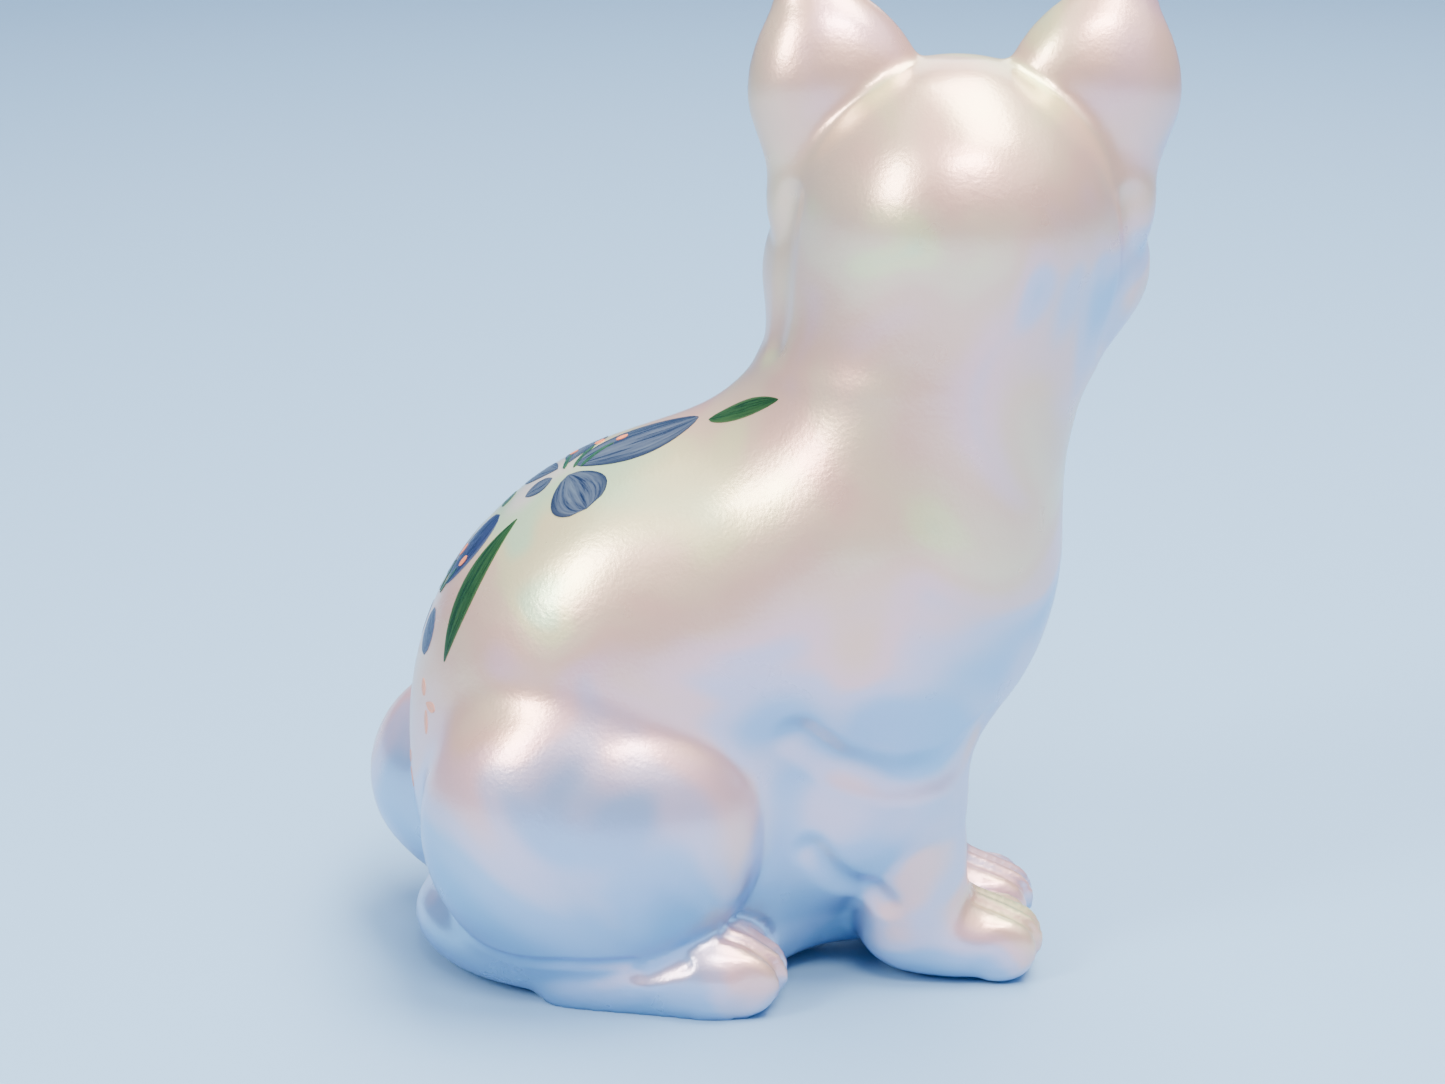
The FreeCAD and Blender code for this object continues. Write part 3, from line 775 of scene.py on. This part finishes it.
def streakGroup():
    group = nodeTree("brush_streaks")            # hair marks of a loaded brush, running from root to tip
    for label in ("Body", "Streak", "Edge"):
        group.interface.new_socket(label, in_out="INPUT", socket_type="NodeSocketColor")
    group.interface.new_socket("Hairs", in_out="INPUT", socket_type="NodeSocketFloat").default_value = 9
    group.interface.new_socket("Thin", in_out="INPUT", socket_type="NodeSocketFloat").default_value = 0.5
    group.interface.new_socket("Color", in_out="OUTPUT", socket_type="NodeSocketColor")
    group.interface.new_socket("Alpha", in_out="OUTPUT", socket_type="NodeSocketFloat")
    group.interface.new_socket("Height", in_out="OUTPUT", socket_type="NodeSocketFloat")
    into, out = put(group, "NodeGroupInput"), put(group, "NodeGroupOutput")
    place = put(group, "ShaderNodeTexCoord")
    apart = put(group, "ShaderNodeSeparateXYZ")
    group.links.new(place.outputs["UV"], apart.inputs["Vector"])
    stretched = put(group, "ShaderNodeCombineXYZ")
    shortU = put(group, "ShaderNodeMath", operation="MULTIPLY")
    shortU.inputs[1].default_value = 0.9
    group.links.new(apart.outputs["X"], shortU.inputs[0])
    manyV = put(group, "ShaderNodeMath", operation="MULTIPLY")
    group.links.new(apart.outputs["Y"], manyV.inputs[0])
    group.links.new(into.outputs["Hairs"], manyV.inputs[1])
    depth = put(group, "ShaderNodeSeparateXYZ")
    group.links.new(place.outputs["Object"], depth.inputs["Vector"])
    own = put(group, "ShaderNodeMath", operation="MULTIPLY")
    own.inputs[1].default_value = 90
    group.links.new(depth.outputs["Z"], own.inputs[0])
    group.links.new(shortU.outputs["Value"], stretched.inputs["X"])
    group.links.new(manyV.outputs["Value"], stretched.inputs["Y"])
    group.links.new(own.outputs["Value"], stretched.inputs["Z"])
    hairs = put(group, "ShaderNodeTexNoise")
    hairs.inputs["Scale"].default_value = 1.6
    hairs.inputs["Detail"].default_value = 4
    hairs.inputs["Roughness"].default_value = 0.65
    group.links.new(stretched.outputs["Vector"], hairs.inputs["Vector"])
    sharper = put(group, "ShaderNodeMapRange")
    sharper.inputs["From Min"].default_value = 0.36
    sharper.inputs["From Max"].default_value = 0.64
    group.links.new(hairs.outputs["Fac"], sharper.inputs["Value"])
    mixed = put(group, "ShaderNodeMix", data_type="RGBA")
    group.links.new(sharper.outputs["Result"], mixed.inputs["Factor"])
    group.links.new(into.outputs["Body"], mixed.inputs["A"])
    group.links.new(into.outputs["Streak"], mixed.inputs["B"])
    fromMiddle = put(group, "ShaderNodeMath", operation="SUBTRACT")
    fromMiddle.inputs[1].default_value = 0.5
    group.links.new(apart.outputs["Y"], fromMiddle.inputs[0])
    off = put(group, "ShaderNodeMath", operation="ABSOLUTE")
    group.links.new(fromMiddle.outputs["Value"], off.inputs[0])
    rim = put(group, "ShaderNodeMapRange")
    rim.inputs["From Min"].default_value = 0.36
    rim.inputs["From Max"].default_value = 0.5
    group.links.new(off.outputs["Value"], rim.inputs["Value"])
    edged = put(group, "ShaderNodeMix", data_type="RGBA")
    group.links.new(rim.outputs["Result"], edged.inputs["Factor"])
    group.links.new(mixed.outputs["Result"], edged.inputs["A"])
    group.links.new(into.outputs["Edge"], edged.inputs["B"])
    group.links.new(edged.outputs["Result"], out.inputs["Color"])
    lean = put(group, "ShaderNodeMath", operation="MULTIPLY")
    group.links.new(sharper.outputs["Result"], lean.inputs[0])
    group.links.new(into.outputs["Thin"], lean.inputs[1])
    solid = put(group, "ShaderNodeMath", operation="SUBTRACT")
    solid.inputs[0].default_value = 1
    group.links.new(lean.outputs["Value"], solid.inputs[1])
    group.links.new(solid.outputs["Value"], out.inputs["Alpha"])
    group.links.new(sharper.outputs["Result"], out.inputs["Height"])
    return group


streaks = streakGroup()
enamels = {
    "grey_blue_enamel": {
        "Body": (0.006, 0.014, 0.044),
        "Streak": (0.075, 0.105, 0.165),
        "Edge": (0.012, 0.022, 0.055),
        "Hairs": 9,
        "Thin": 0.16,
    },
    "dark_blue_enamel": {
        "Body": (0.003, 0.005, 0.034),
        "Streak": (0.018, 0.030, 0.105),
        "Edge": (0.06, 0.08, 0.15),
        "Hairs": 6,
        "Thin": 0.15,
    },
    "dark_green_enamel": {
        "Body": (0.008, 0.045, 0.02),
        "Streak": (0.02, 0.09, 0.04),
        "Edge": (0.02, 0.07, 0.03),
        "Hairs": 2,
        "Thin": 0.0,
    },
    "anther_enamel": {
        "Body": (0.72, 0.14, 0.05),
        "Streak": (0.85, 0.30, 0.12),
        "Edge": (0.75, 0.20, 0.08),
        "Hairs": 2,
        "Thin": 0.1,
    },
    "leaf_enamel": {
        "Body": (0.004, 0.026, 0.007),
        "Streak": (0.020, 0.075, 0.018),
        "Edge": (0.040, 0.095, 0.030),
        "Hairs": 4,
        "Thin": 0.15,
    },
    "sprig_enamel": {
        "Body": (0.80, 0.25, 0.13),
        "Streak": (0.90, 0.48, 0.32),
        "Edge": (0.88, 0.42, 0.28),
        "Hairs": 2,
        "Thin": 0.5,
    },
    "iris_enamel": {
        "Body": (0.05, 0.20, 0.09),
        "Streak": (0.22, 0.36, 0.12),
        "Edge": (0.02, 0.07, 0.04),
        "Hairs": 5,
        "Thin": 0.0,
    },
    "black_enamel": {
        "Body": (0.008, 0.008, 0.010),
        "Streak": (0.02, 0.02, 0.025),
        "Edge": (0.01, 0.01, 0.012),
        "Hairs": 2,
        "Thin": 0.0,
    },
    "nose_enamel": {
        "Body": (0.70, 0.28, 0.26),
        "Streak": (0.82, 0.42, 0.38),
        "Edge": (0.80, 0.45, 0.42),
        "Hairs": 2,
        "Thin": 0.1,
    },
}


def enamelMaterial(name, look):
    made = bpy.data.materials.new(name)
    made.use_nodes = True
    tree = made.node_tree
    shader = tree.nodes["Principled BSDF"]
    strokeLook = put(tree, "ShaderNodeGroup", node_tree=streaks)
    for label in ("Body", "Streak", "Edge"):
        strokeLook.inputs[label].default_value = (*look[label], 1)
    strokeLook.inputs["Hairs"].default_value = look["Hairs"]
    strokeLook.inputs["Thin"].default_value = look["Thin"]
    tree.links.new(strokeLook.outputs["Color"], shader.inputs["Base Color"])
    tree.links.new(strokeLook.outputs["Alpha"], shader.inputs["Alpha"])
    relief = put(tree, "ShaderNodeBump")
    relief.inputs["Strength"].default_value = 0.5
    relief.inputs["Distance"].default_value = 0.02 * mm
    tree.links.new(strokeLook.outputs["Height"], relief.inputs["Height"])
    tree.links.new(relief.outputs["Normal"], shader.inputs["Normal"])
    rough = put(tree, "ShaderNodeMapRange")
    rough.inputs["To Min"].default_value = 0.22
    rough.inputs["To Max"].default_value = 0.38
    tree.links.new(strokeLook.outputs["Height"], rough.inputs["Value"])
    tree.links.new(rough.outputs["Result"], shader.inputs["Roughness"])
    shader.inputs["Specular IOR Level"].default_value = 0.35
    shader.inputs["Coat Weight"].default_value = 0.10
    shader.inputs["Coat Roughness"].default_value = 0.08
    return made


paints = {name: enamelMaterial(name, look) for name, look in enamels.items()}


def paintFor(name):
    if "stamen" in name:
        return "dark_green_enamel"
    if "anther" in name:
        return "anther_enamel"
    if "leaf" in name:
        return "leaf_enamel"
    if "sprig" in name:
        return "sprig_enamel"
    if "iris" in name:
        return "iris_enamel"
    if "pupil" in name:
        return "black_enamel"
    if "nose" in name:
        return "nose_enamel"
    return "grey_blue_enamel" if name.startswith("back") else "dark_blue_enamel"


for name, values in strokes.items():
    stroke = brushStroke(name, *values)
    stroke.data.materials.clear()
    stroke.data.materials.append(paints[paintFor(name)])
    dressAs(stroke, name)
print("strokes painted:", len(strokes))
throwAway(whole)

stage = {
    "floorSize": 60,
    "floorColour": (0.23, 0.41, 0.63, 1),
    "floorRoughness": 0.8,
    "skyColour": (0.25, 0.50, 0.90, 1),
    "skyStrength": 0.62,
    "sunPower": 2.0,
    "sunAngle": 1.6,
    "sunTurn": (0.25, 0.2, 0),
    "lampsAimAt": (0, 0, 0.045),
}

deselectAll()
bpy.ops.mesh.primitive_plane_add(size=stage["floorSize"], location=(0, 0, 0))
floor = bpy.context.object
floor.name = "floor"
paper = bpy.data.materials.new("floor_paper")
paper.use_nodes = True
shader = paper.node_tree.nodes["Principled BSDF"]
shader.inputs["Base Color"].default_value = stage["floorColour"]
shader.inputs["Roughness"].default_value = stage["floorRoughness"]
floor.data.materials.append(paper)

sky = bpy.data.worlds.new("studio")
bpy.context.scene.world = sky
sky.use_nodes = True
sky.node_tree.nodes["Background"].inputs["Color"].default_value = stage["skyColour"]
sky.node_tree.nodes["Background"].inputs["Strength"].default_value = stage["skyStrength"]

lamps = {
    "overhead": {"at": (0.12, 0.04, 0.56), "size": (0.60, 0.24), "power": 9.6, "colour": (1.0, 0.90, 0.79)},
    "left": {"at": (-0.42, -0.34, 0.40), "size": (0.15, 0.26), "power": 4.2, "colour": (1.0, 0.94, 0.86)},
    "high": {"at": (0.10, -0.42, 0.58), "size": (0.26, 0.10), "power": 4.0, "colour": (1.0, 0.93, 0.84)},
    "front": {"at": (0.10, 0.60, 0.40), "size": (0.40, 0.30), "power": 1.4, "colour": (1.0, 0.98, 0.95)},
}
for name, lamp in lamps.items():
    deselectAll()
    bpy.ops.object.light_add(type="AREA", location=lamp["at"])
    made = bpy.context.object
    made.name = name + "_light"
    made.data.shape = "RECTANGLE"
    made.data.size, made.data.size_y = lamp["size"]
    made.data.energy = lamp["power"]
    made.data.color = lamp["colour"]
    aim = Vector(stage["lampsAimAt"]) - Vector(lamp["at"])
    made.rotation_euler = aim.to_track_quat("-Z", "Y").to_euler()

deselectAll()
bpy.ops.object.light_add(type="SUN", location=(0, 0, 3), rotation=stage["sunTurn"])
daylight = bpy.context.object
daylight.data.energy = stage["sunPower"]
daylight.data.angle = stage["sunAngle"]

view = {
    "target": (0.3, 0, 41.3),    # mm
    "rise": 17,                  # degrees above the table
    "distance": 0.320,
    "lens": 84.95,
    "sensor": 36,
}
rise = math.radians(view["rise"])
standOff = Vector((0, -math.cos(rise), math.sin(rise))) * view["distance"]
bpy.ops.object.camera_add(location=Vector(view["target"]) * mm + standOff,
                          rotation=(math.radians(90 - view["rise"]), 0, 0))
camera = bpy.context.object
camera.data.lens = view["lens"]
camera.data.sensor_width = view["sensor"]
camera.data.clip_start = 0.01
camera.data.clip_end = 20
bpy.context.scene.camera = camera
print("stage set")
